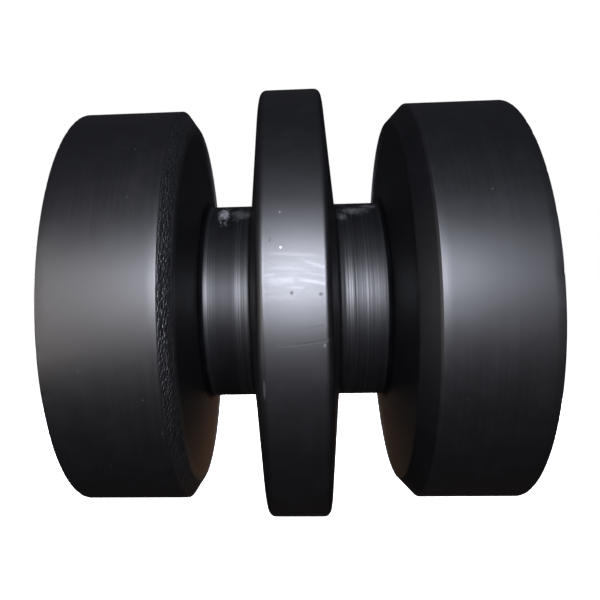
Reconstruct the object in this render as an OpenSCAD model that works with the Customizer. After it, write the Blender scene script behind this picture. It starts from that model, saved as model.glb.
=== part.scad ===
// Track roller with a centre flange, for a crawler undercarriage.
// A hollow forged shell turns on two flanged bushes around a fixed axle shaft. A pair of
// floating seals at each end keeps the oil in, and each end collar is locked to the shaft
// by a tangential pin. The shaft's free ends rest in the track frame.
// The shaft runs along Y, +Z is up, and the origin is the middle of the roller.

/* [Shell] */
// Diameter of the two treads
tread_d = 250; // [200:1:320]
// Diameter of the centre flange over its rim
flange_d = 272; // [210:1:350]
// Diameter of the two necks between the flange and the treads
neck_d = 125; // [110:1:180]
// Length of the shell along the shaft
shell_len = 258; // [220:1:320]
// Width of the flange at its rim
flange_rim_w = 36; // [20:1:44]
// Width of the flange at its root
flange_root_w = 52; // [30:1:60]
// Distance between the inner faces of the treads, at the necks
neck_span = 111.6; // [100:0.2:130]
// How far each tread's inner face leans outwards from neck to chamfer
face_lean = 5.7; // [0:0.1:10]
// Length along the shaft of the left tread's forged chamfer
left_chamfer_len = 6.5; // [2:0.1:14]
// Height of the left tread's forged chamfer
left_chamfer_h = 9.6; // [2:0.1:14]
// Length along the shaft of the right tread's turned chamfer
right_chamfer_len = 9.9; // [2:0.1:14]
// Height of the right tread's turned chamfer
right_chamfer_h = 10.5; // [2:0.1:14]
// Depth of the ring-shaped recess in each end face
dish_depth = 7; // [0:0.5:12]

/* [Shaft and collars] */
// Diameter of the axle shaft inside the roller
shaft_d = 70; // [60:0.5:80]
// Diameter of the shaft's ground ends, which rest in the track frame
shaft_end_d = 68; // [58:0.5:78]
// Length of the axle shaft
shaft_len = 326; // [290:1:380]
// Outer diameter of the end collars
collar_d = 126; // [116:1:140]
// How far each end collar stands out of the shell
collar_proud = 13; // [8:0.5:20]
// Depth of the flat milled on top of each shaft end
flat_depth = 4; // [0:0.5:8]
// Diameter of the pins that lock the collars to the shaft
lock_pin_d = 8; // [5:0.5:12]

/* [Bushes and seals] */
// Outer diameter of the bushes
bush_d = 80; // [76:0.5:92]
// Radial running clearance between shaft and bush
running_gap = 0.08; // [0.01:0.01:0.1]
// End float between each bush flange and the collar's thrust face
end_float = 0.4; // [0.1:0.1:1]
// Section diameter of the rubber rings that load the seals
toric_d = 8; // [6:0.2:10]
// Slope of the ramps that the rubber rings sit on
ramp_angle = 15; // [8:1:20]
// Clearance left around the seal parts
seal_gap = 0.05; // [0.01:0.01:0.1]

/* [Resolution] */
// Straight steps in each rounded corner of an outline
corner_steps = 6; // [3:1:12]
// Facets of a full circle in previews
$fn = 96; // [48:8:256]

/* [Hidden] */
tread_r = tread_d / 2;
flange_r = flange_d / 2;
neck_r = neck_d / 2;
shell_y = shell_len / 2;
flange_rim_y = flange_rim_w / 2;
flange_root_y = flange_root_w / 2;
neck_y = neck_span / 2;
forged_fillet = 4;
edge_break = 0.8;
hub_rim_r = 76;
dish_in_r = 80;
dish_out_r = 100;
tread_rim_r = 106;

shaft_r = shaft_d / 2;
shaft_end_r = shaft_end_d / 2;
shaft_y = shaft_len / 2;
shaft_chamfer = 2;
relief_r = shaft_r - 2;
relief_y = 40;

bush_r = bush_d / 2;
bush_in_y = 42;
bush_flange_r = 47;
bush_flange_t = 5;
bush_out_y = shell_y - 25;
bush_groove_w = 5;
bush_groove_depth = 1.2;
reservoir_r = 46;
reservoir_y = 38;

// The two rings of a floating seal meet at face_y; everything in the pair mirrors about it
face_y = shell_y - 13.4;
toric_r = toric_d / 2;
toric_ring_r = 53.6;
seal_flange_t = 2.6;
seal_flange_r = 55.8;
seal_bore_r = 46.2;
seal_len = 10;
toric_y = face_y - seal_flange_t - seal_gap - toric_r;
ramp_reach = toric_r + seal_gap;
labyrinth_y = shell_y - 14;
labyrinth_r = collar_d / 2 + 1;

collar_r = collar_d / 2;
collar_y = shell_y + collar_proud;
collar_hub_r = 45;
collar_edge = 2;
skirt_y = shell_y - 12.6;
skirt_lip = 0.5;
oring_r = 1.75;
oring_y = 123;
oring_groove_w = 4.4;
oring_groove_r = shaft_r + 2 * (oring_r + seal_gap);

lock_pin_r = lock_pin_d / 2;
lock_pin_y = collar_y - 6.8;
lock_pin_len = 96;
lock_pin_chamfer = 0.8;

step_y = collar_y + 0.5;
oil_hole_r = 4;
cross_hole_r = 3;
plug_r = 8;
plug_depth = 14;
plug_seat_depth = 7;
plug_seat_r = 13;
plug_head_r = 11;
plug_head_h = 5;
plug_hex = 8;
plug_hex_depth = 4;
washer_r = 12;
washer_t = 1.5;
centre_r = 5;
centre_depth = 8;
pilot_r = 2;
pilot_depth = 14;

cut = 1;

// ---- outline helpers ----

// Radius of the housing ramp on the roller side, at the distance y along the shaft
function housing_ramp_r(y) =
    toric_ring_r + ramp_reach * cos(ramp_angle)
    + (y - toric_y + ramp_reach * sin(ramp_angle)) * tan(ramp_angle);

// Radius of the seal ring's own ramp, at the distance y along the shaft
function ring_ramp_r(y) =
    toric_ring_r - ramp_reach * cos(ramp_angle)
    + (y - toric_y - ramp_reach * sin(ramp_angle)) * tan(ramp_angle);

// The same place on the other side of the seal's lapped face
function mirrored_y(y) = 2 * face_y + seal_gap - y;

// Arc that replaces corner b of the path a-b-c by a round of radius r
function round_corner(a, b, c, r) =
    let (
        u = (a - b) / norm(a - b),
        v = (c - b) / norm(c - b),
        half = acos(u * v) / 2,
        middle = b + (u + v) / norm(u + v) * r / sin(half),
        first = b + u * r / tan(half) - middle,
        turn = sign(cross(first, b - middle)) * (180 - 2 * half),
        start = atan2(first[1], first[0])
    )
    [for (i = [0 : corner_steps])
        let (t = start + turn * i / corner_steps)
        middle + r * [cos(t), sin(t)]];

// Closed outline from points [radius, y, corner radius]
function outline(points) =
    let (n = len(points))
    [for (i = [0 : n - 1])
        let (
            p = points[i],
            a = points[(i + n - 1) % n],
            c = points[(i + 1) % n]
        )
        each p[2] == 0
            ? [[p[0], p[1]]]
            : round_corner([a[0], a[1]], [p[0], p[1]], [c[0], c[1]], p[2])];

// The listed points on the -Y side, in reverse order
function on_left(points) =
    [for (i = [len(points) - 1 : -1 : 0]) [points[i][0], -points[i][1], points[i][2]]];

// Turned body: an outline in radius and y, spun about the shaft's axis
module turned(points) {
    rotate([-90, 0, 0])
        rotate_extrude()
            polygon(outline(points));
}

// Children as they stand on the right, or mirrored to the left
module at_side(side) {
    mirror([0, side == "left" ? 1 : 0, 0])
        children();
}

// Plain cylinder along the shaft's axis, from y0 to y1
module rod_y(r, y0, y1) {
    translate([0, y0, 0])
        rotate([-90, 0, 0])
            cylinder(r = r, h = y1 - y0);
}

// Ring of round section about the shaft's axis
module torus_y(ring_r, section_r, y) {
    translate([0, y, 0])
        rotate([-90, 0, 0])
            rotate_extrude()
                translate([ring_r, 0])
                    circle(r = section_r);
}

// ---- pieces that turn ----

// Outside of the shell on the right half, from the flange to the end face's inner edge
function shell_outside(chamfer_len, chamfer_h) = [
    [flange_r, flange_rim_y, forged_fillet],
    [neck_r, flange_root_y, forged_fillet],
    [neck_r, neck_y, forged_fillet],
    [tread_r - chamfer_h, neck_y + face_lean, 0],
    [tread_r, neck_y + face_lean + chamfer_len, 0],
    [tread_r, shell_y - edge_break, 0],
    [tread_r - edge_break, shell_y, 0],
    [tread_rim_r, shell_y, 0],
    [dish_out_r, shell_y - dish_depth, forged_fillet],
    [dish_in_r, shell_y - dish_depth, forged_fillet],
    [hub_rim_r, shell_y, edge_break]
];

// Inside of the shell on the right half, from the seal counterbore to the oil reservoir
function shell_inside() = [
    [labyrinth_r + edge_break, shell_y, 0],
    [labyrinth_r, shell_y - edge_break, 0],
    [labyrinth_r, labyrinth_y, 0],
    [housing_ramp_r(labyrinth_y), labyrinth_y, 0],
    [housing_ramp_r(bush_out_y), bush_out_y, 0],
    [bush_flange_r + 2 * seal_gap, bush_out_y, 0],
    [bush_flange_r + 2 * seal_gap, bush_out_y - bush_flange_t, 0],
    [bush_r, bush_out_y - bush_flange_t, 0],
    [bush_r, reservoir_y, 0],
    [reservoir_r, reservoir_y, 0]
];

module roller_shell() {
    color([0.07, 0.07, 0.085])
        turned(concat(
            shell_outside(right_chamfer_len, right_chamfer_h),
            shell_inside(),
            on_left(shell_inside()),
            on_left(shell_outside(left_chamfer_len, left_chamfer_h))
        ));
}

module bushing() {
    bore_r = shaft_r + running_gap;
    groove_y = (bush_in_y + bush_out_y) / 2;
    color([0.72, 0.52, 0.28])
        turned([
            [bore_r, bush_in_y + 1, 0],
            [bore_r + 1, bush_in_y, 0],
            [bush_r - 1, bush_in_y, 0],
            [bush_r, bush_in_y + 1, 0],
            [bush_r, bush_out_y - bush_flange_t, 0],
            [bush_flange_r, bush_out_y - bush_flange_t, 0],
            [bush_flange_r, bush_out_y, 0],
            [bore_r + 1, bush_out_y, 0],
            [bore_r, bush_out_y - 1, 0],
            [bore_r, groove_y + bush_groove_w / 2, 0],
            [bore_r + bush_groove_depth, groove_y + bush_groove_w / 2, 0],
            [bore_r + bush_groove_depth, groove_y - bush_groove_w / 2, 0],
            [bore_r, groove_y - bush_groove_w / 2, 0]
        ]);
}

// Hard seal ring whose lapped face is at face_y, on the roller side
module seal_ring() {
    flange_y = face_y - seal_flange_t;
    color([0.55, 0.56, 0.58])
        turned([
            [seal_bore_r, face_y - 1.5, 0],
            [seal_bore_r + 3, face_y, 0],
            [seal_flange_r, face_y, 0],
            [seal_flange_r, flange_y, 0],
            [ring_ramp_r(flange_y), flange_y, 0],
            [ring_ramp_r(face_y - seal_len), face_y - seal_len, 0],
            [seal_bore_r, face_y - seal_len, 0]
        ]);
}

module rotating_toric_ring() {
    color([0.05, 0.05, 0.05])
        torus_y(toric_ring_r, toric_r, toric_y);
}

// ---- pieces that stay still ----

// Flat on top of a shaft end, from the shoulder at the collar to past the end
module shaft_flat() {
    translate([-shaft_r, step_y, shaft_end_r - flat_depth])
        cube([shaft_d, shaft_y - step_y + cut, shaft_d]);
}

// Tangential pin hole, half in the shaft and half in the collar
module lock_pin_hole() {
    translate([-collar_r, lock_pin_y, -shaft_r])
        rotate([0, 90, 0])
            cylinder(r = lock_pin_r, h = collar_d);
}

// Oil passage from the right end to the middle, with the plug's seat and the cross hole
module oil_passage() {
    rod_y(oil_hole_r, -oil_hole_r, shaft_y);
    rod_y(plug_r, shaft_y - plug_seat_depth - plug_depth - 2, shaft_y);
    rod_y(plug_seat_r, shaft_y - plug_seat_depth, shaft_y + cut);
    translate([0, 0, -shaft_r])
        cylinder(r = cross_hole_r, h = shaft_d);
}

// Lathe centre in the left end
module centre_hole() {
    translate([0, -shaft_y, 0])
        rotate([-90, 0, 0])
            cylinder(r1 = centre_r, r2 = pilot_r, h = centre_depth);
    rod_y(pilot_r, -shaft_y - cut, -shaft_y + pilot_depth);
}

module axle_shaft() {
    color([0.42, 0.43, 0.45])
        difference() {
            turned([
                [0, -shaft_y, 0],
                [shaft_end_r - shaft_chamfer, -shaft_y, 0],
                [shaft_end_r, -shaft_y + shaft_chamfer, 0],
                [shaft_end_r, -step_y, 0],
                [shaft_r, -step_y, 0],
                [shaft_r, -relief_y, 0],
                [relief_r, -relief_y + 2, 0],
                [relief_r, relief_y - 2, 0],
                [shaft_r, relief_y, 0],
                [shaft_r, step_y, 0],
                [shaft_end_r, step_y, 0],
                [shaft_end_r, shaft_y - shaft_chamfer, 0],
                [shaft_end_r - shaft_chamfer, shaft_y, 0],
                [0, shaft_y, 0]
            ]);
            for (side = ["left", "right"]) {
                at_side(side) {
                    shaft_flat();
                    lock_pin_hole();
                }
            }
            oil_passage();
            centre_hole();
        }
}

module end_collar() {
    seat_y = mirrored_y(bush_out_y);
    groove_y = [oring_y - oring_groove_w / 2, oring_y + oring_groove_w / 2];
    color([0.07, 0.07, 0.085])
        difference() {
            turned([
                [shaft_r, bush_out_y + end_float, 0],
                [collar_hub_r - 1, bush_out_y + end_float, 0],
                [collar_hub_r, bush_out_y + end_float + 1, 0],
                [collar_hub_r, seat_y, 0],
                [housing_ramp_r(bush_out_y), seat_y, 0],
                [housing_ramp_r(mirrored_y(skirt_y)), skirt_y, 0],
                [collar_r - skirt_lip, skirt_y, 0],
                [collar_r, skirt_y + skirt_lip, 0],
                [collar_r, collar_y - collar_edge, 0],
                [collar_r - collar_edge, collar_y, 0],
                [shaft_r, collar_y, 0],
                [shaft_r, groove_y[1], 0],
                [oring_groove_r, groove_y[1], 0],
                [oring_groove_r, groove_y[0], 0],
                [shaft_r, groove_y[0], 0]
            ]);
            lock_pin_hole();
        }
}

// The seal ring again, turned round to face the rotating one across the lapped faces
module fixed_seal_ring() {
    translate([0, 2 * face_y + seal_gap, 0])
        mirror([0, 1, 0])
            seal_ring();
}

module fixed_toric_ring() {
    color([0.05, 0.05, 0.05])
        torus_y(toric_ring_r, toric_r, mirrored_y(toric_y));
}

module collar_oring() {
    color([0.05, 0.05, 0.05])
        torus_y(shaft_r + seal_gap + oring_r, oring_r, oring_y);
}

module lock_pin() {
    half_len = lock_pin_len / 2;
    color([0.5, 0.5, 0.52])
        translate([0, lock_pin_y, -shaft_r])
            rotate([0, 90, 0])
                rotate_extrude()
                    polygon([
                        [0, -half_len],
                        [lock_pin_r - lock_pin_chamfer, -half_len],
                        [lock_pin_r, -half_len + lock_pin_chamfer],
                        [lock_pin_r, half_len - lock_pin_chamfer],
                        [lock_pin_r - lock_pin_chamfer, half_len],
                        [0, half_len]
                    ]);
}

module oil_plug() {
    head_y = shaft_y - plug_seat_depth + washer_t;
    tip_y = head_y - plug_depth;
    color([0.6, 0.6, 0.62])
        difference() {
            turned([
                [0, tip_y, 0],
                [plug_r - 1, tip_y, 0],
                [plug_r, tip_y + 1, 0],
                [plug_r, head_y, 0],
                [plug_head_r, head_y, 0],
                [plug_head_r, head_y + plug_head_h - 0.6, 0],
                [plug_head_r - 0.6, head_y + plug_head_h, 0],
                [0, head_y + plug_head_h, 0]
            ]);
            translate([0, head_y + plug_head_h - plug_hex_depth, 0])
                rotate([-90, 0, 0])
                    cylinder(d = plug_hex / cos(30), h = plug_hex_depth + cut, $fn = 6);
        }
}

module plug_washer() {
    seat_y = shaft_y - plug_seat_depth;
    color([0.72, 0.42, 0.26])
        turned([
            [plug_r + 0.2, seat_y, 0],
            [washer_r, seat_y, 0],
            [washer_r, seat_y + washer_t, 0],
            [plug_r + 0.2, seat_y + washer_t, 0]
        ]);
}

roller_shell();
at_side("left") bushing();  // bushing_left
at_side("right") bushing();  // bushing_right
at_side("left") rotating_toric_ring();  // rotating_toric_ring_left
at_side("right") rotating_toric_ring();  // rotating_toric_ring_right
at_side("left") seal_ring();  // rotating_seal_ring_left
at_side("right") seal_ring();  // rotating_seal_ring_right
axle_shaft();
at_side("left") end_collar();  // end_collar_left
at_side("right") end_collar();  // end_collar_right
at_side("left") fixed_seal_ring();  // fixed_seal_ring_left
at_side("right") fixed_seal_ring();  // fixed_seal_ring_right
at_side("left") fixed_toric_ring();  // fixed_toric_ring_left
at_side("right") fixed_toric_ring();  // fixed_toric_ring_right
at_side("left") collar_oring();  // collar_oring_left
at_side("right") collar_oring();  // collar_oring_right
at_side("left") lock_pin();  // lock_pin_left
at_side("right") lock_pin();  // lock_pin_right
oil_plug();
plug_washer();
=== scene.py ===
"""Track roller with a centre flange: its fine shapes and finishes, and a plain studio.

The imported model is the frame, in metres: the shaft lies along Y, +Z is up and the origin is the
middle of the roller. The shell is turned here as one dense body with rounded edges, forged skin and
handling nicks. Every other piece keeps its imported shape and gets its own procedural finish.
"""

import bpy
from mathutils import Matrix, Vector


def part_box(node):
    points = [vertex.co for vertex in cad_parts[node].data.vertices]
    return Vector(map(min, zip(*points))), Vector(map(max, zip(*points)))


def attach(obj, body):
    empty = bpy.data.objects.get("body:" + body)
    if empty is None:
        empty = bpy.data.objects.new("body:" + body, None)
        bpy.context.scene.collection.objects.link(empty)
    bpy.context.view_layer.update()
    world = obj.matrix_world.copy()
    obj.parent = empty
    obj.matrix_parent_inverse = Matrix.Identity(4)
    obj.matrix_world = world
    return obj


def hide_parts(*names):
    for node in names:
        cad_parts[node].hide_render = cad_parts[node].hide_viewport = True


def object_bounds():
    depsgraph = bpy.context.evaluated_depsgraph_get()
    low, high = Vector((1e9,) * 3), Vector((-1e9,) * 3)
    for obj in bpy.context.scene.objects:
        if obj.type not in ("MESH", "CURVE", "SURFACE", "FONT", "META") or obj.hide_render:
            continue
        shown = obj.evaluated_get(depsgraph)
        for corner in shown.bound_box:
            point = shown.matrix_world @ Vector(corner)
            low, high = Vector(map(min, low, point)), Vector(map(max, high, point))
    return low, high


bl_info = {
    "name": "Track Roller",
    "version": (1, 0, 0),
    "blender": (4, 5, 0),
    "location": "3D View > Sidebar > Track Roller",
    "description": "Builds the shapes, finishes and studio of a crawler's track roller",
    "category": "Object",
}

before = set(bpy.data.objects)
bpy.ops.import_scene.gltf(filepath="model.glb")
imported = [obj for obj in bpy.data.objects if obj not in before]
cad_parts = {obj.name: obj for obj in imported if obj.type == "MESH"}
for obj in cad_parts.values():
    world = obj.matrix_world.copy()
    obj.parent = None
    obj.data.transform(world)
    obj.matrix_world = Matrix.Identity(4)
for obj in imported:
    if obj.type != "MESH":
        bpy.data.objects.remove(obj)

import math
from collections import namedtuple

import bmesh
import bpy
import numpy as np
from bpy.props import FloatProperty, FloatVectorProperty, IntProperty, PointerProperty
from bpy.types import Operator, Panel, PropertyGroup
from mathutils import Euler, Vector, noise

CAD_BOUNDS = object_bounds()
SHELL_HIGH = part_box("roller_shell")[1]
COLLAR_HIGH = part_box("end_collar_right")[1]
MM = 0.001
FLOOR_Z = CAD_BOUNDS[0].z
FLANGE_RADIUS, SHELL_END = SHELL_HIGH.x, SHELL_HIGH.y
COLLAR_RADIUS, COLLAR_END = COLLAR_HIGH.x, COLLAR_HIGH.y

# The shell's end dishes and hollow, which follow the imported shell; depths are from its ends
DISH_MOUTH_RADII = (76 * MM, 106 * MM)
DISH_FLOOR_RADII = (80 * MM, 100 * MM)
DISH_DEPTH = 7 * MM
COLLAR_BORE_RADIUS = COLLAR_RADIUS + 1 * MM
COLLAR_BORE_DEPTH = 14 * MM
SEAL_SEAT_RADII = (59.4 * MM, 56.45 * MM)
SEAL_SEAT_DEPTH = 25 * MM
BUSH_FLANGE_RADIUS = 47.1 * MM
BUSH_FLANGE_DEPTH = 30 * MM
BUSH_BORE_RADIUS = 40 * MM
OIL_SPACE_RADIUS = 46 * MM
OIL_SPACE_END = 38 * MM
CHAMFER_ROUND = 0.5 * MM

# The rounded corners of an outline: length of a step, and the fewest and most steps of a corner
ARC_STEP = 0.5 * MM
FEWEST_ARC_STEPS, MOST_ARC_STEPS = 3, 8


# ---- sizes and colours that a user would change ----


def length(name, description, default):
    """A size in metres."""
    return FloatProperty(
        name=name, description=description, default=default, min=0.0, unit="LENGTH", precision=5
    )


def colour(name, description, default):
    """A linear colour."""
    return FloatVectorProperty(
        name=name,
        description=description,
        default=default,
        size=3,
        min=0.0,
        max=1.0,
        subtype="COLOR",
    )


def angle(name, description, default):
    """An angle in radians."""
    return FloatProperty(name=name, description=description, default=default, unit="ROTATION")


def power(name, description, default):
    """The power of a lamp in watts."""
    return FloatProperty(name=name, description=description, default=default, min=0.0, unit="POWER")


class RollerShape(PropertyGroup):
    """Sizes of the shell's outside that the frame's boxes don't give."""

    tread_radius: length("Tread radius", "Radius of the two treads", 125 * MM)
    neck_radius: length("Neck radius", "Radius of the necks beside the flange", 62.5 * MM)
    rim_width: length("Rim width", "Width of the flange at its rim", 36 * MM)
    root_width: length("Root width", "Width of the flange at its root", 52 * MM)
    neck_span: length("Neck span", "From one tread's inner face to the other's", 111.6 * MM)
    face_lean: length("Face lean", "How far each inner face leans outwards", 5.7 * MM)
    forged_chamfer_length: length("Forged chamfer length", "Along the shaft", 6.5 * MM)
    forged_chamfer_height: length("Forged chamfer height", "Along the radius", 9.6 * MM)
    turned_chamfer_length: length("Turned chamfer length", "Along the shaft", 9.9 * MM)
    turned_chamfer_height: length("Turned chamfer height", "Along the radius", 10.5 * MM)
    forged_round: length("Forged rounding", "Radius of the forged corners", 4 * MM)
    root_round: length("Root rounding", "Radius where the flange meets the necks", 1.5 * MM)
    edge_round: length("Edge rounding", "Radius left on the machined edges", 0.8 * MM)
    forged_depth: length("Forged skin depth", "Depth of the dimples in the forged skin", 0.30 * MM)
    nick_depth: length("Nick depth", "Depth of the nicks along the outer edges", 0.5 * MM)
    ring_steps: IntProperty(
        name="Ring steps", description="Facets round the shell", default=400, min=64
    )


class RollerLooks(PropertyGroup):
    """Colours of the finishes."""

    paint: colour("Paint", "Satin black paint", (0.0010, 0.0010, 0.0013))
    haze: colour("Haze", "Paint that handling has dulled", (0.0026, 0.0026, 0.0032))
    scuff: colour("Scuff", "Bare grey scuffs", (0.21, 0.21, 0.217))
    chalk: colour("Chalk", "Specks of pale dust", (0.55, 0.55, 0.56))
    steel: colour("Steel", "Ground shaft steel", (0.42, 0.42, 0.43))
    bronze: colour("Bronze", "Turned bush bronze", (0.62, 0.43, 0.22))
    iron: colour("Iron", "Hard seal iron", (0.33, 0.33, 0.34))
    rubber: colour("Rubber", "Nitrile rubber", (0.02, 0.02, 0.02))
    zinc: colour("Zinc", "Dull zinc plating", (0.55, 0.55, 0.54))
    copper: colour("Copper", "Soft copper washer", (0.72, 0.40, 0.25))


class RollerStudio(PropertyGroup):
    """The camera, the floor, the air and the lamps."""

    stand_off: length("Stand-off", "Distance from the shaft's axis to the lens", 452.3 * MM)
    lens_height: length("Lens height", "Height of the lens above the shaft's axis", 6.5 * MM)
    lens_side: length("Lens side", "Distance of the lens from the roller's middle plane", 2.0 * MM)
    swing: angle("Swing", "Turn of the view about the vertical", 0.058)
    tilt: angle("Tilt", "Upward tilt of the view", 0.0479)
    roll: angle("Roll", "Turn of the view about its own axis", -0.022)
    floor: colour("Floor", "Plain pale floor", (0.93, 0.93, 0.93))
    horizon: colour("Horizon", "Soft light from the sides", (0.012, 0.011, 0.013))
    zenith: colour("Zenith", "Soft light from above", (0.066, 0.069, 0.084))
    ground: colour("Ground", "Warm light thrown up from below", (0.33, 0.19, 0.115))
    key_power: power("Key power", "The front lamp", 5.6)
    fill_power: power("Fill power", "The low fill lamp", 0.58)
    rear_power: power("Rear power", "Each rear lamp", 1.6)
    wide_power: power("Wide power", "Each lamp behind and beside the roller", 3.2)
    end_power: power("End power", "Each lamp that faces an end", 1.0)


# ---- shader building ----


class Wire:
    """A shader socket that takes part in sums, so that an expression adds its own Math nodes."""

    def __init__(self, graph, socket):
        self.graph = graph
        self.socket = socket

    def math(self, operation, *terms):
        return self.graph.node("ShaderNodeMath", {"operation": operation}, dict(enumerate(terms)))

    def __add__(self, other):
        return self.math("ADD", self, other)

    __radd__ = __add__

    def __sub__(self, other):
        return self.math("SUBTRACT", self, other)

    def __rsub__(self, other):
        return self.math("SUBTRACT", other, self)

    def __mul__(self, other):
        return self.math("MULTIPLY", self, other)

    __rmul__ = __mul__

    def __truediv__(self, other):
        return self.math("DIVIDE", self, other)

    def __rtruediv__(self, other):
        return self.math("DIVIDE", other, self)

    def __pow__(self, other):
        return self.math("POWER", self, other)

    def __rpow__(self, other):
        return self.math("POWER", other, self)

    def __abs__(self):
        return self.math("ABSOLUTE", self)

    def __or__(self, other):
        """The larger of two values."""
        return self.math("MAXIMUM", self, other)

    __ror__ = __or__

    def clamped(self):
        return self.math("MINIMUM", self | 0.0, 1.0)

    def step(self, low, high):
        """0 below low, 1 above high and smooth between; the other way round if low > high."""
        if low > high:
            return 1.0 - self.step(high, low)
        sockets = {"Value": self, "From Min": low, "From Max": high}
        return self.graph.node("ShaderNodeMapRange", {"interpolation_type": "SMOOTHSTEP"}, sockets)


class Graph:
    """A node tree, and the one method that adds nodes to it."""

    def __init__(self, tree):
        self.tree = tree

    def node(self, kind, settings=None, sockets=None, output=0):
        """Adds a node, sets its settings and then its sockets, and returns one of its outputs."""
        made = self.tree.nodes.new(kind)
        for key, value in (settings or {}).items():
            setattr(made, key, value)
        for key, value in (sockets or {}).items():
            if isinstance(value, Wire):
                self.tree.links.new(value.socket, made.inputs[key])
            else:
                made.inputs[key].default_value = value
        return Wire(self, made.outputs[output]) if len(made.outputs) else None

    def axis(self, place, letter):
        return self.node("ShaderNodeSeparateXYZ", sockets={0: place}, output=letter)

    def blend(self, share, first, second):
        """The first colour where share is 0 and the second where it is 1.

        A Mix node has sockets for every type of data: its colours are inputs 6 and 7 and output 2.
        """
        sockets = {0: share, 6: first, 7: second}
        return self.node("ShaderNodeMix", {"data_type": "RGBA"}, sockets, output=2)


class Finish(Graph):
    """One procedural material: a Principled shader and the nodes that feed it."""

    def __init__(self, name, **constants):
        self.material = bpy.data.materials.new(name)
        self.material.use_nodes = True
        super().__init__(self.material.node_tree)
        self.shader = self.tree.nodes["Principled BSDF"]
        for socket, value in constants.items():
            self.shader.inputs[socket.replace("_", " ")].default_value = value
        self.place = self.node("ShaderNodeTexCoord", output="Object")

    def feed(self, socket, value):
        self.tree.links.new(value.socket, self.shader.inputs[socket])

    def vector(self, operation, first, second):
        sockets = {0: first, 1: second}
        return self.node("ShaderNodeVectorMath", {"operation": operation}, sockets)

    def stretched(self, x, y, z):
        """The place on the piece with each axis scaled on its own."""
        return self.vector("MULTIPLY", self.place, (x, y, z))

    def radius(self):
        """Distance from the shaft's axis."""
        across = self.stretched(1.0, 0.0, 1.0)
        return self.node("ShaderNodeVectorMath", {"operation": "LENGTH"}, {0: across}, "Value")

    def lathe_place(self, scale, drift):
        """Radius and distance along the shaft, so that a noise on it makes turning rings."""
        along = self.axis(self.place, "Y")
        wander = self.noise(self.place, 9.0, detail=1.0) * drift
        parts = {0: self.radius() * scale, 1: along * scale, 2: wander}
        return self.node("ShaderNodeCombineXYZ", sockets=parts)

    def noise(self, place, scale, detail=2.0, roughness=0.5):
        sockets = {"Vector": place, "Scale": scale, "Detail": detail, "Roughness": roughness}
        return self.node("ShaderNodeTexNoise", sockets=sockets)

    def cells(self, place, scale, output="Distance"):
        sockets = {"Vector": place, "Scale": scale}
        return self.node("ShaderNodeTexVoronoi", sockets=sockets, output=output)

    def attribute(self, name):
        return self.node("ShaderNodeAttribute", {"attribute_name": name}, output="Fac")

    def bump(self, height, depth, over=None):
        """A normal from a height of 0 to 1 that stands for a depth in metres."""
        sockets = {"Height": height, "Distance": depth}
        if over is not None:
            sockets["Normal"] = over
        return self.node("ShaderNodeBump", sockets=sockets)


class Marks:
    """Marks put on a turned surface by distance along the shaft, in mm, and turn from the front."""

    def __init__(self, finish, ragged):
        self.along = finish.axis(finish.place, "Y") / MM
        up, front = finish.axis(finish.place, "Z"), finish.axis(finish.place, "X")
        self.turn = up.math("ARCTAN2", up, front) * math.degrees(1.0)
        self.ragged = ragged - 0.5

    def stroke(self, start, end, width, fray):
        """A line between two (along, turn) places that fades out at its ends."""
        reach = (self.along - start[0]) / (end[0] - start[0])
        middle = reach * (end[1] - start[1]) + start[1]
        gap = abs(self.turn - middle) + self.ragged * (fray * width)
        return gap.step(width, width * 0.3) * reach.step(0.0, 0.3) * reach.step(1.0, 0.8)

    def spot(self, along, turn, width, height, fray, core):
        """An oval spot, 1 within its core and 0 outside, with a ragged edge."""
        across = ((self.along - along) / width) ** 2.0
        gap = (across + ((self.turn - turn) / height) ** 2.0) ** 0.5
        return (gap + self.ragged * fray).step(1.0, core)

    def band(self, along, width):
        """A soft ring round the whole surface."""
        return abs(self.along - along).step(width, 0.0)

    def strokes(self, table, fray):
        return gathered((self.stroke(*line, fray), strength) for *line, strength in table)

    def spots(self, table, fray, core=0.7):
        return gathered((self.spot(*spot, fray, core), strength) for *spot, strength in table)

    def bands(self, table):
        return gathered((self.band(*ring), strength) for *ring, strength in table)


def gathered(masks):
    """The largest of several (mask, strength) pairs."""
    total = None
    for mask, strength in masks:
        part = mask * strength
        total = part if total is None else total | part
    return total


def rgba(values):
    return (*values, 1.0)


# ---- turned bodies ----

# A corner of an outline: its rounding, and the longest step between points after it
Corner = namedtuple("Corner", "radius y rounding step")


def round_corner(before, corner, after, radius, steps):
    """Points of the arc that rounds one corner of an outline."""
    back = (before - corner) / np.linalg.norm(before - corner)
    on = (after - corner) / np.linalg.norm(after - corner)
    half = math.acos(float(np.clip(back @ on, -1, 1))) / 2
    middle = corner + (back + on) / np.linalg.norm(back + on) * radius / math.sin(half)
    first = corner + back * radius / math.tan(half) - middle
    inward = corner - middle
    turn = math.copysign(math.pi - 2 * half, first[0] * inward[1] - first[1] * inward[0])
    angles = np.linspace(0, turn, steps + 1)
    cos, sin = np.cos(angles), np.sin(angles)
    arc = np.stack([first[0] * cos - first[1] * sin, first[0] * sin + first[1] * cos], axis=1)
    return arc + middle


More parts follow.
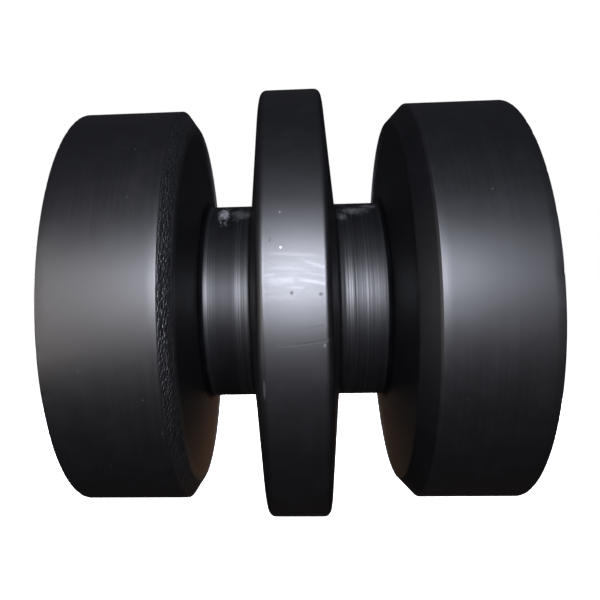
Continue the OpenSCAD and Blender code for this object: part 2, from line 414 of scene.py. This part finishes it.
def fine_outline(corners):
    """The closed outline of radius and y that runs through the corners."""
    points, arcs, count = [], [], len(corners)
    places = [np.array((corner.radius, corner.y), float) for corner in corners]
    for i, corner in enumerate(corners):
        if corner.rounding:
            steps = round(corner.rounding / ARC_STEP)
            steps = max(FEWEST_ARC_STEPS, min(MOST_ARC_STEPS, steps))
            before, after = places[i - 1], places[(i + 1) % count]
            arcs.append(round_corner(before, places[i], after, corner.rounding, steps))
        else:
            arcs.append(places[i][None])
    for i, arc in enumerate(arcs):
        points.extend(arc)
        gap = arcs[(i + 1) % count][0] - arc[-1]
        pieces = max(1, math.ceil(np.linalg.norm(gap) / corners[i].step))
        points.extend(arc[-1] + gap * k / pieces for k in range(1, pieces))
    return np.array(points)


def on_left(corners):
    """The same corners on the -Y side, in reverse order, with each step kept on its own stretch."""
    back = corners[::-1]
    return [
        corner._replace(y=-corner.y, step=following.step)
        for corner, following in zip(back, back[1:] + back[:1])
    ]


def spin(outline, steps):
    """Points [outline, turn, xyz] of an outline spun about Y, and the quads between them."""
    turn = np.arange(steps) * (2 * math.pi / steps)
    radius, along = outline[:, 0, None], outline[:, 1, None]
    points = np.stack([radius * np.cos(turn), along + 0 * turn, radius * np.sin(turn)], axis=-1)
    count = len(outline)
    row, column = np.meshgrid(np.arange(count), np.arange(steps), indexing="ij")
    next_row, next_column = (row + 1) % count, (column + 1) % steps
    quads = np.stack(
        [
            row * steps + column,
            row * steps + next_column,
            next_row * steps + next_column,
            next_row * steps + column,
        ],
        axis=-1,
    )
    return points, quads.reshape(-1, 4)


def new_piece(name, points, faces, *materials):
    """A smooth-shaded mesh object with its faces turned outwards."""
    mesh = bpy.data.meshes.new(name)
    mesh.from_pydata(points.reshape(-1, 3).tolist(), [], faces.tolist())
    body = bmesh.new()
    body.from_mesh(mesh)
    bmesh.ops.recalc_face_normals(body, faces=body.faces)
    body.to_mesh(mesh)
    body.free()
    mesh.shade_smooth()
    for material in materials:
        mesh.materials.append(material)
    piece = bpy.data.objects.new(name, mesh)
    bpy.context.scene.collection.objects.link(piece)
    return piece


def store(piece, name, rows, steps):
    """Keeps one number per ring of points on the mesh, for the finish to read."""
    values = np.repeat(rows.astype(float), steps)
    piece.data.attributes.new(name, "FLOAT", "POINT").data.foreach_set("value", values)


def field(points, scale, seed):
    """Smooth noise from -1 to 1 at each point."""
    offset = Vector((seed, 2.7 * seed, 5.1 * seed))
    flat = points.reshape(-1, 3)
    values = [noise.fractal(Vector(p) * scale + offset, 1.0, 2.0, 3) for p in flat.tolist()]
    return np.array(values).reshape(points.shape[:-1])


def between(values, low, high):
    """Which values lie between low and high."""
    return (values > low) & (values < high)


def dress(nodes, material):
    """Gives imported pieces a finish."""
    for name in nodes:
        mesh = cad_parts[name].data
        mesh.materials.clear()
        mesh.materials.append(material)


def both(name):
    """The names of a piece's left and right copies."""
    return [f"{name}_left", f"{name}_right"]


# ---- finishes ----

# Specular level of the black paint on the treads and rim, and the lower levels that paint shade
# into the grooves and, darker still, into their corners
SHEENS = {"roller_paint": 0.5, "groove_shade_paint": 0.24, "corner_shade_paint": 0.06}
COAT_ROUGHNESS = 0.46
DISH_SKIN = 0.2  # how much the dishes show of the forged skin, which is 1 on the forged chamfer

# Marks on the shell, in mm along the shaft and degrees of turn from the front
RIM_STREAKS = [  # start (along, turn), end (along, turn), width in degrees, strength
    ((0, 4.9), (19, 3.4), 0.55, 1.0),
    ((2, 8.9), (19, 6.2), 0.5, 0.8),
    ((-15, 4.4), (2, 4.6), 0.9, 0.75),
    ((-16, 10.3), (16, 9.2), 0.6, 0.6),
    ((-15, 7.2), (8, 6.6), 0.5, 0.45),
    ((-4, 3.2), (6, 2.9), 0.4, 0.6),
    ((-17, 1.0), (4, 1.4), 0.8, 0.45),
    ((4, 6.1), (18, 5.0), 0.35, 0.5),
    ((-15, 5.4), (-8, 5.9), 0.4, 0.7),
    ((-12, 3.6), (-5, 3.9), 0.35, 0.6),
    ((-16, 2.6), (-10, 2.3), 0.3, 0.4),
]
RIM_SCRATCHES = [  # start, end, width, strength
    ((20, -7.2), (-3, -8.5), 0.32, 1.0),
    ((4, -8.1), (-10, -8.9), 0.22, 0.5),
    ((18, -4.2), (2, -5.4), 0.25, 0.4),
]
RIM_PITS = [  # along, turn, width, height, strength
    (-1.0, 2.0, 0.8, 0.45, 0.5),
    (12.7, 1.6, 0.9, 0.4, 0.5),
    (-11.0, 12.9, 0.7, 0.6, 0.5),
    (-12.2, 14.6, 0.5, 0.4, 0.5),
]
RIM_SPECKS = [  # along, turn, width, height, strength
    (-5.8, 11.2, 0.45, 0.25, 1.0),
    (-5.9, 18.8, 0.4, 0.25, 0.15),
    (13.9, -8.5, 0.6, 0.45, 0.06),
    (-22.0, -7.5, 0.7, 0.45, 0.06),
    (-15.2, -17.6, 0.7, 2.4, 0.022),
]
RIM_EDGES = [(-15.2, 1.8, 1.3), (15.2, 1.6, 0.7)]  # along, width, strength
NECK_SCUFFS = [  # along, turn, width, height, strength
    (-43.2, 61.0, 4.6, 12.5, 1.0),
    (-33.0, 60.0, 8.5, 9.0, 0.30),
    (38.0, 61.5, 10.0, 6.5, 0.32),
    (30.0, 54.0, 4.0, 6.0, 0.26),
    (47.5, 68.0, 6.0, 5.0, 0.30),
]
NECK_POLISH = [  # along, width, strength
    (-50.4, 4.4, 1.1),
    (-31.4, 6.6, 1.7),
    (31.8, 4.4, 1.4),
    (41.0, 13.0, 0.75),
]
NECK_GROOVES = [  # along, width, strength
    (34.9, 0.7, 1.0),
    (52.6, 0.6, 0.8),
    (28.6, 1.4, 0.9),
    (38.4, 0.4, 0.5),
    (45.6, 0.4, 0.4),
    (-36.6, 0.5, 0.6),
    (-34.6, 0.4, 0.5),
    (-31.6, 0.35, 0.6),
    (-29.6, 0.3, 0.5),
]
CHAMFER_LIP = (61.8, 64.4)  # the forged skin grows rough between these two, along the shaft
SKIN_SLANT = -1.3  # the forged skin's dents run slanting, by this much of the way along
SKIN_SCALE = (400.0, 300.0, 400.0)


def roller_paint(looks, name, sheen):
    """Satin black paint on a forged and turned shell."""
    paint = Finish(name, Specular_IOR_Level=sheen, Coat_Roughness=COAT_ROUGHNESS)
    forged = paint.attribute("forged")
    turned = paint.attribute("turned")
    rim = paint.attribute("rim")
    faced = paint.attribute("faced")

    fine_lathe = paint.lathe_place(scale=1700.0, drift=0.5)
    fine_rings = paint.noise(fine_lathe, 1.0, detail=2.0, roughness=0.7)
    rings = paint.noise(paint.lathe_place(scale=850.0, drift=0.4), 1.0, detail=1.0, roughness=0.6)
    grain = paint.noise(paint.place, 1300.0, detail=3.0, roughness=0.6)
    mottle = paint.noise(paint.place, 70.0, detail=4.0, roughness=0.6)
    cloud = paint.noise(paint.place, 16.0)
    rub = paint.noise(paint.stretched(330.0, 45.0, 330.0), 1.0, detail=3.0, roughness=0.6)
    ragged = paint.noise(paint.place, 330.0, detail=4.0, roughness=0.75)
    flaked = paint.noise(paint.place, 750.0, detail=3.0, roughness=0.7)
    smear = paint.axis(paint.place, "Y") * SKIN_SLANT
    shear = paint.node("ShaderNodeCombineXYZ", sockets={0: smear, 2: smear})
    slanted = paint.vector("MULTIPLY", paint.vector("ADD", paint.place, shear), SKIN_SCALE)
    hammered = paint.noise(slanted, 1.0, detail=3.0, roughness=0.65)
    dents = paint.cells(slanted, 1.0)

    marks = Marks(paint, ragged * 0.6 + flaked * 0.4)
    streaks = marks.strokes(RIM_STREAKS, fray=1.2) * rim
    scratches = marks.strokes(RIM_SCRATCHES, fray=0.4) * rim
    pits = marks.spots(RIM_PITS, fray=1.2) * rim
    specks = marks.spots(RIM_SPECKS, fray=0.8)
    scuffs = marks.spots(NECK_SCUFFS, fray=4.5, core=0.1) * turned
    polish = marks.bands(NECK_POLISH) * turned
    grooves = marks.bands(NECK_GROOVES) * turned
    rare = paint.cells(paint.place, 130.0, "Color").step(0.80, 0.86)
    flecks = paint.cells(paint.place, 130.0).step(0.085, 0.04) * rare * (1.0 - forged)
    outer = abs(marks.along).step(*CHAMFER_LIP)

    base = paint.blend(mottle.step(0.40, 0.75) * 0.5, rgba(looks.paint), rgba(looks.haze))
    base = paint.blend((scuffs * flaked.step(0.22, 0.62)).clamped(), base, rgba(looks.scuff))
    base = paint.blend((specks + flecks * 0.05).clamped(), base, rgba(looks.chalk))
    paint.feed("Base Color", base)

    edges = marks.bands(RIM_EDGES)
    worn = rim * ((rub - 0.5) * 0.9 + edges + 0.15) + streaks
    gloss = 0.445 + (grain - 0.5) * 0.08 + (cloud - 0.5) * 0.03 + (mottle - 0.5) * 0.03
    gloss = gloss + turned * 0.08 + rim * 0.006 + faced * (rings - 0.5) * 0.07
    gloss = gloss + grooves * 0.20 + forged * ((hammered - 0.5) * 0.5 + 0.08)
    gloss = gloss - worn * 0.055 + (scratches + pits).clamped() * 0.30 + scuffs * 0.2
    paint.feed("Roughness", (gloss | 0.22).clamped())

    lines = rings.step(0.30, 0.70) * 0.6 + fine_rings.step(0.25, 0.75) * 0.4
    polished = turned * lines * (polish * 0.92 + 0.15) * (1.0 - grooves * 0.8)
    paint.feed("Coat Weight", polished.clamped())

    skin = paint.bump(grain, 0.010 * MM)
    lathe = paint.bump(fine_rings * (turned * 0.9 + faced * 0.10), 0.03 * MM, skin)
    gouged = paint.bump(1.0 - (scratches + pits).clamped(), 0.02 * MM, lathe)
    pitted = dents.step(0.15, 0.75) * 0.45 + hammered * 0.55
    paint.feed("Normal", paint.bump(pitted * forged * (outer * 0.75 + 0.25), 0.80 * MM, gouged))
    return paint.material


def collar_paint(looks):
    """The same black over turned collars, worn through in places along the outer edge."""
    paint = Finish("collar_paint", Specular_IOR_Level=0.5)
    rings = paint.noise(paint.lathe_place(scale=900.0, drift=0.4), 1.0, detail=3.0, roughness=0.6)
    grain = paint.noise(paint.place, 1100.0, detail=3.0, roughness=0.6)
    mottle = paint.noise(paint.place, 35.0, detail=4.0, roughness=0.6)
    ragged = paint.noise(paint.place, 260.0, detail=4.0, roughness=0.7)
    edge = abs(paint.radius() - (COLLAR_RADIUS - 1.2 * MM)).step(1.6 * MM, 0.0)
    along = abs(paint.axis(paint.place, "Y"))
    face = along.step(COLLAR_END - 2.5 * MM, COLLAR_END - 1.0 * MM)
    worn = edge * face * mottle.step(0.50, 0.66) * (ragged * 0.5 + 0.1)
    base = paint.blend(mottle.step(0.4, 0.8) * 0.6, rgba(looks.paint), rgba(looks.haze))
    paint.feed("Base Color", paint.blend(worn, base, rgba(looks.steel)))
    paint.feed("Metallic", worn)
    gloss = 0.44 + (grain - 0.5) * 0.10 + (mottle - 0.5) * 0.1 + (rings - 0.5) * 0.08
    paint.feed("Roughness", gloss)
    paint.feed("Normal", paint.bump(rings * 0.6 + grain * 0.4 - worn, 0.02 * MM))
    return paint.material


# A bare metal: its colour and roughness, how fine and deep its rings are, and how stained it is
Metal = namedtuple("Metal", "tint roughness ring_scale ring_depth stain")
METALS = {
    "shaft_steel": Metal("steel", 0.42, 900.0, 0.02 * MM, 0.6),
    "pin_steel": Metal("steel", 0.3, 600.0, 0.01 * MM, 0.25),
    "bush_bronze": Metal("bronze", 0.35, 1400.0, 0.02 * MM, 0.25),
    "seal_iron": Metal("iron", 0.3, 1800.0, 0.01 * MM, 0.25),
    "plug_steel": Metal("zinc", 0.42, 700.0, 0.01 * MM, 0.4),
    "washer_copper": Metal("copper", 0.36, 900.0, 0.01 * MM, 0.25),
}


def turned_metal(looks, name):
    """Bare metal with turning or grinding rings, a little stained."""
    kind = METALS[name]
    tint = getattr(looks, kind.tint)
    metal = Finish(name, Metallic=1.0)
    lathe = metal.lathe_place(kind.ring_scale, drift=0.5)
    rings = metal.noise(lathe, 1.0, detail=3.0, roughness=0.7)
    stains = metal.noise(metal.place, 40.0, detail=5.0, roughness=0.65)
    grain = metal.noise(metal.place, 900.0)
    dull = [c * 0.45 for c in tint]
    share = (stains.step(0.45, 0.75) * kind.stain + rings.step(0.3, 0.8) * 0.18).clamped()
    metal.feed("Base Color", metal.blend(share, rgba(tint), rgba(dull)))
    gloss = kind.roughness + (rings - 0.5) * 0.22 + (stains - 0.5) * 0.2 + (grain - 0.5) * 0.05
    metal.feed("Roughness", gloss)
    metal.feed("Normal", metal.bump(rings, kind.ring_depth))
    return metal.material


def seal_rubber(looks):
    """Smooth black rubber with a faint bloom."""
    rubber = Finish("seal_rubber", Specular_IOR_Level=0.4)
    bloom = rubber.noise(rubber.place, 90.0, detail=4.0, roughness=0.6)
    grain = rubber.noise(rubber.place, 1500.0)
    share = bloom.step(0.4, 0.8) * 0.4
    pale = rgba([c * 2.5 for c in looks.rubber])
    rubber.feed("Base Color", rubber.blend(share, rgba(looks.rubber), pale))
    rubber.feed("Roughness", 0.5 + (bloom - 0.5) * 0.2)
    rubber.feed("Normal", rubber.bump(grain, 0.01 * MM))
    return rubber.material


# ---- shapes ----

# The shell's skin: depth of its slow waves, the noise levels that dimples and dishes are pressed in
# below, and the level that nicks are cut above and how fast they deepen from there
WAVE_DEPTH = 0.06 * MM
DIMPLE_LEVEL, DISH_LEVEL = 0.3, 0.2
NICK_LEVEL, NICK_GAIN = 0.34, 1.6


def shell_corners(shape, chamfer_length, chamfer_height):
    """The shell's right side, from the flange's rim round the tread and into the oil space."""
    face = shape.neck_span / 2
    lip = face + shape.face_lean
    tread, neck, end = shape.tread_radius, shape.neck_radius, SHELL_END
    dish_end = end - DISH_DEPTH
    collar_end = end - COLLAR_BORE_DEPTH
    seal_end = end - SEAL_SEAT_DEPTH
    bush_end = end - BUSH_FLANGE_DEPTH
    corners = [
        (FLANGE_RADIUS, shape.rim_width / 2, shape.forged_round, 6 * MM),
        (neck, shape.root_width / 2, shape.root_round, 5 * MM),
        (neck, face, shape.forged_round, 5 * MM),
        (tread - chamfer_height, lip, CHAMFER_ROUND, 1.6 * MM),
        (tread, lip + chamfer_length, CHAMFER_ROUND, 5 * MM),
        (tread, end, shape.edge_round, 6 * MM),
        (DISH_MOUTH_RADII[1], end, CHAMFER_ROUND, 4 * MM),
        (DISH_FLOOR_RADII[1], dish_end, shape.forged_round, 6 * MM),
        (DISH_FLOOR_RADII[0], dish_end, shape.forged_round, 4 * MM),
        (DISH_MOUTH_RADII[0], end, shape.edge_round, 6 * MM),
        (COLLAR_BORE_RADIUS, end, shape.edge_round, 8 * MM),
        (COLLAR_BORE_RADIUS, collar_end, 0, 8 * MM),
        (SEAL_SEAT_RADII[0], collar_end, 0, 12 * MM),
        (SEAL_SEAT_RADII[1], seal_end, 0, 12 * MM),
        (BUSH_FLANGE_RADIUS, seal_end, 0, 12 * MM),
        (BUSH_FLANGE_RADIUS, bush_end, 0, 12 * MM),
        (BUSH_BORE_RADIUS, bush_end, 0, 70 * MM),
        (BUSH_BORE_RADIUS, OIL_SPACE_END, 0, 12 * MM),
        (OIL_SPACE_RADIUS, OIL_SPACE_END, 0, 80 * MM),
    ]
    return [Corner(*corner) for corner in corners]


def shell_zones(shape, radius, along):
    """Which rings of points lie on each part of the shell, by the part's name.

    A zone reaches a margin past the corners at its ends, and a skin's depth below its surface.
    """
    margin, skin = 1 * MM, 0.3 * MM
    face = shape.neck_span / 2
    lip = face + shape.face_lean
    tread, neck = shape.tread_radius, shape.neck_radius
    near = abs(along)
    forged_chamfer = between(along, -lip - shape.forged_chamfer_length - margin, margin - lip)
    forged_chamfer &= between(radius, tread - shape.forged_chamfer_height - margin, tread - skin)
    turned_chamfer = between(along, lip - margin, lip + shape.turned_chamfer_length + margin)
    turned_chamfer &= between(radius, tread - shape.turned_chamfer_height - margin, tread - skin)
    dish = between(near, SHELL_END - DISH_DEPTH - margin, SHELL_END - margin)
    dish &= between(radius, DISH_MOUTH_RADII[0] + margin, DISH_MOUTH_RADII[1] - margin)
    rim = radius > FLANGE_RADIUS - 1.5 * MM
    inside = between(radius, neck - margin, FLANGE_RADIUS - 0.2 * MM) & (near < lip + margin)
    root = between(radius, neck - margin, neck + 6 * MM)
    return {
        "forged_chamfer": forged_chamfer,
        "dish": dish,
        "rim": rim,
        "neck": between(radius, neck - margin, neck + 0.2 * MM) & (near < face + 2 * MM),
        "faced": ((radius > tread - skin) | (near > SHELL_END - skin)) & ~rim,
        # The groove and corner zones get the low-sheen paints that paint shade into the recess
        "groove": turned_chamfer | (inside & ~forged_chamfer),
        "corner": root & between(near, face - 2.6 * MM, face + margin),
        "outer_edge": (radius > tread - 1.2 * MM) & (near > SHELL_END - 1.2 * MM),
        "outside": (radius > 60 * MM) & (near < SHELL_END - margin),
    }


def pressed_in(shape, points, zones):
    """The shell's points with slow waves, the forged skin's dimples and nicks pressed into them."""
    outside, edge = zones["outside"], zones["outer_edge"]
    chamfer, dish = zones["forged_chamfer"], zones["dish"]
    push = np.zeros(points.shape[:2])
    push[outside] = WAVE_DEPTH * field(points[outside], scale=60.0, seed=1)
    dimples = field(points[chamfer], scale=380.0, seed=2) - DIMPLE_LEVEL
    push[chamfer] += shape.forged_depth * dimples
    push[dish] += shape.forged_depth * (field(points[dish], scale=90.0, seed=4) - DISH_LEVEL)
    bite = np.clip(field(points[edge], scale=220.0, seed=3) - NICK_LEVEL, 0, None)
    push[edge] -= shape.nick_depth * NICK_GAIN * bite
    reach = np.linalg.norm(points[..., [0, 2]], axis=-1, keepdims=True)
    outward = points * [1, 0, 1] / reach
    return points + outward * np.minimum(push, 0.0)[..., None]


class ROLLER_OT_shell(Operator):
    """Turn the forged shell with its treads, necks and centre flange"""

    bl_idname = "roller.shell"
    bl_label = "Forged Shell"

    def execute(self, context):
        shape, looks = context.scene.roller_shape, context.scene.roller_looks
        right = shell_corners(shape, shape.turned_chamfer_length, shape.turned_chamfer_height)
        left = shell_corners(shape, shape.forged_chamfer_length, shape.forged_chamfer_height)
        outline = fine_outline(right + on_left(left))
        zones = shell_zones(shape, *outline.T)
        points, quads = spin(outline, shape.ring_steps)
        points = pressed_in(shape, points, zones)

        paints = [roller_paint(looks, name, sheen) for name, sheen in SHEENS.items()]
        shell = new_piece("forged_shell", points, quads, *paints)
        # Paint index per ring: 1 paints shade into the grooves, 2 paints darker shade into their
        # corners
        shade_index = zones["groove"].astype(np.int32) + (zones["groove"] & zones["corner"])
        shade_index = np.minimum(shade_index, np.roll(shade_index, -1))
        shade_indices = np.repeat(shade_index, shape.ring_steps)
        shell.data.polygons.foreach_set("material_index", shade_indices)
        marked = {
            "forged": zones["forged_chamfer"] + zones["dish"] * DISH_SKIN,
            "turned": zones["neck"],
            "rim": zones["rim"],
            "faced": zones["faced"],
        }
        for name, rows in marked.items():
            store(shell, name, rows, shape.ring_steps)
        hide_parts("roller_shell")
        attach(shell, "roller")
        return {"FINISHED"}


class ROLLER_OT_collars(Operator):
    """Paint the end collars"""

    bl_idname = "roller.collars"
    bl_label = "End Collars"

    def execute(self, context):
        dress(both("end_collar"), collar_paint(context.scene.roller_looks))
        return {"FINISHED"}


class ROLLER_OT_shaft(Operator):
    """Finish the shaft and its lock pins in ground steel"""

    bl_idname = "roller.shaft"
    bl_label = "Shaft and Lock Pins"

    def execute(self, context):
        looks = context.scene.roller_looks
        dress(["axle_shaft"], turned_metal(looks, "shaft_steel"))
        dress(both("lock_pin"), turned_metal(looks, "pin_steel"))
        return {"FINISHED"}


class ROLLER_OT_bushes(Operator):
    """Finish the bushes in turned bronze"""

    bl_idname = "roller.bushes"
    bl_label = "Bushes"

    def execute(self, context):
        dress(both("bushing"), turned_metal(context.scene.roller_looks, "bush_bronze"))
        return {"FINISHED"}


class ROLLER_OT_seals(Operator):
    """Finish the hard seal rings and the rubber rings"""

    bl_idname = "roller.seals"
    bl_label = "Floating Seals"

    def execute(self, context):
        looks = context.scene.roller_looks
        rings = both("rotating_seal_ring") + both("fixed_seal_ring")
        dress(rings, turned_metal(looks, "seal_iron"))
        rubber = both("rotating_toric_ring") + both("fixed_toric_ring") + both("collar_oring")
        dress(rubber, seal_rubber(looks))
        return {"FINISHED"}


class ROLLER_OT_plug(Operator):
    """Finish the oil plug and its copper washer"""

    bl_idname = "roller.plug"
    bl_label = "Oil Plug"

    def execute(self, context):
        looks = context.scene.roller_looks
        dress(["oil_plug"], turned_metal(looks, "plug_steel"))
        dress(["plug_washer"], turned_metal(looks, "washer_copper"))
        return {"FINISHED"}


# ---- studio ----

COOL, WARM = (0.955, 0.99, 1.14), (1.0, 0.93, 0.89)
WHITE = (1.0, 1.0, 1.0)
KEY_LAMP = ((0.476, 0.0104, 0.0821), 0.232)  # place and diameter
FILL_LAMP = ((0.275, -0.215, -0.002), 0.26)
REAR_LAMP = ((-0.476, 0.21, 0.0), 0.16)  # this one and the next two stand on both sides
WIDE_LAMP = ((-0.36, 0.42, 0.0), 0.20)
END_LAMP = ((0.0, 0.56, 0.04), 0.12)
SENSOR_WIDTH = 36.0
FOCAL_LENGTH = 40.43
LENS_SHIFT = (0.0697, -0.0707)
LENS_CLIP = 0.02
FLOOR_REACH = 12.0
FLOOR_GLOW = 1.15


def lamp(name, stand, watts, tint, side=1):
    """A round soft lamp that faces the middle of the roller; side -1 puts it on the left."""
    (x, y, z), diameter = stand
    place = Vector((x, y * side, z))
    light = bpy.data.lights.new(name, "AREA")
    light.shape = "DISK"
    light.size = diameter
    light.energy = watts
    light.color = tint
    holder = bpy.data.objects.new(name, light)
    holder.location = place
    holder.rotation_euler = (-place).to_track_quat("-Z", "Y").to_euler()
    bpy.context.scene.collection.objects.link(holder)


def studio_air(studio):
    """White to look at; as light, cool from above, dim around and warm from low on the right."""
    world = bpy.data.worlds.new("studio_air")
    world.use_nodes = True
    world.node_tree.nodes.clear()
    air = Graph(world.node_tree)
    way = air.node("ShaderNodeTexCoord", output="Generated")
    height, side = air.axis(way, "Z"), air.axis(way, "Y")
    above, below = height | 0.0, (0.0 - height) | 0.0
    light = air.blend(above**1.6, rgba(studio.horizon), rgba(studio.zenith))
    warmth = below.step(0.08, 0.22) * (1.0 - below.step(0.24, 0.5) * 0.95)
    warmth = warmth * (side.step(-0.6, 0.5) * 0.7 + 0.3)
    light = air.blend(warmth, light, rgba(studio.ground))
    seen = air.node("ShaderNodeLightPath", output="Is Camera Ray")
    backdrop = air.node("ShaderNodeBackground", sockets={0: air.blend(seen, light, rgba(WHITE))})
    air.node("ShaderNodeOutputWorld", sockets={0: backdrop})
    bpy.context.scene.world = world


def pale_floor(studio):
    """A plain floor under the flange, seen by the camera only, so that it throws no light back."""
    corners = np.array([(-1, -1), (1, -1), (1, 1), (-1, 1)]) * FLOOR_REACH
    points = np.column_stack([corners, np.full(4, FLOOR_Z)])
    finish = Finish(
        "pale_floor", Roughness=0.9, Specular_IOR_Level=0.0, Emission_Strength=FLOOR_GLOW
    )
    finish.shader.inputs["Emission Color"].default_value = rgba(studio.floor)
    speck = finish.noise(finish.place, 30.0, detail=3.0)
    shade = finish.blend(speck * 0.05, rgba(studio.floor), rgba([c * 0.9 for c in studio.floor]))
    finish.feed("Base Color", shade)
    floor = new_piece("floor", points, np.array([[0, 1, 2, 3]]), finish.material)
    floor.visible_diffuse = False
    floor.visible_glossy = False


class ROLLER_OT_studio(Operator):
    """Set the floor, the soft lamps and the camera"""

    bl_idname = "roller.studio"
    bl_label = "Studio"

    def execute(self, context):
        studio = context.scene.roller_studio
        pale_floor(studio)
        studio_air(studio)
        lamp("key_lamp", KEY_LAMP, studio.key_power, COOL)
        lamp("fill_lamp", FILL_LAMP, studio.fill_power, WARM)
        for side, name in ((-1, "left"), (1, "right")):
            lamp(f"rear_lamp_{name}", REAR_LAMP, studio.rear_power, COOL, side)
            lamp(f"wide_lamp_{name}", WIDE_LAMP, studio.wide_power, COOL, side)
            lamp(f"end_lamp_{name}", END_LAMP, studio.end_power, COOL, side)

        lens = bpy.data.cameras.new("camera")
        lens.sensor_width = SENSOR_WIDTH
        lens.lens = FOCAL_LENGTH
        lens.shift_x, lens.shift_y = LENS_SHIFT
        lens.clip_start = LENS_CLIP
        camera = bpy.data.objects.new("camera", lens)
        camera.location = (studio.stand_off, studio.lens_side, studio.lens_height)
        turn = Euler((math.pi / 2 + studio.tilt, 0.0, math.pi / 2 + studio.swing)).to_matrix()
        twist = Euler((0.0, 0.0, studio.roll)).to_matrix()
        camera.rotation_euler = (turn @ twist).to_euler()
        context.scene.collection.objects.link(camera)
        context.scene.camera = camera
        context.scene.view_settings.view_transform = "Standard"
        return {"FINISHED"}


# ---- panel and registration ----

OPERATORS = (
    ROLLER_OT_shell,
    ROLLER_OT_collars,
    ROLLER_OT_shaft,
    ROLLER_OT_bushes,
    ROLLER_OT_seals,
    ROLLER_OT_plug,
    ROLLER_OT_studio,
)


class ROLLER_PT_panel(Panel):
    """Lists the roller's pieces"""

    bl_label = "Track Roller"
    bl_idname = "ROLLER_PT_panel"
    bl_space_type = "VIEW_3D"
    bl_region_type = "UI"
    bl_category = "Track Roller"

    def draw(self, context):
        for operator in OPERATORS:
            self.layout.operator(operator.bl_idname)


CLASSES = (RollerShape, RollerLooks, RollerStudio, *OPERATORS, ROLLER_PT_panel)


def register():
    for cls in CLASSES:
        bpy.utils.register_class(cls)
    bpy.types.Scene.roller_shape = PointerProperty(type=RollerShape)
    bpy.types.Scene.roller_looks = PointerProperty(type=RollerLooks)
    bpy.types.Scene.roller_studio = PointerProperty(type=RollerStudio)


def unregister():
    del bpy.types.Scene.roller_shape
    del bpy.types.Scene.roller_looks
    del bpy.types.Scene.roller_studio
    for cls in reversed(CLASSES):
        bpy.utils.unregister_class(cls)


def main():
    register()
    bpy.ops.roller.shell()
    bpy.ops.roller.collars()
    bpy.ops.roller.shaft()
    bpy.ops.roller.bushes()
    bpy.ops.roller.seals()
    bpy.ops.roller.plug()
    bpy.ops.roller.studio()


if __name__ == "__main__":
    main()
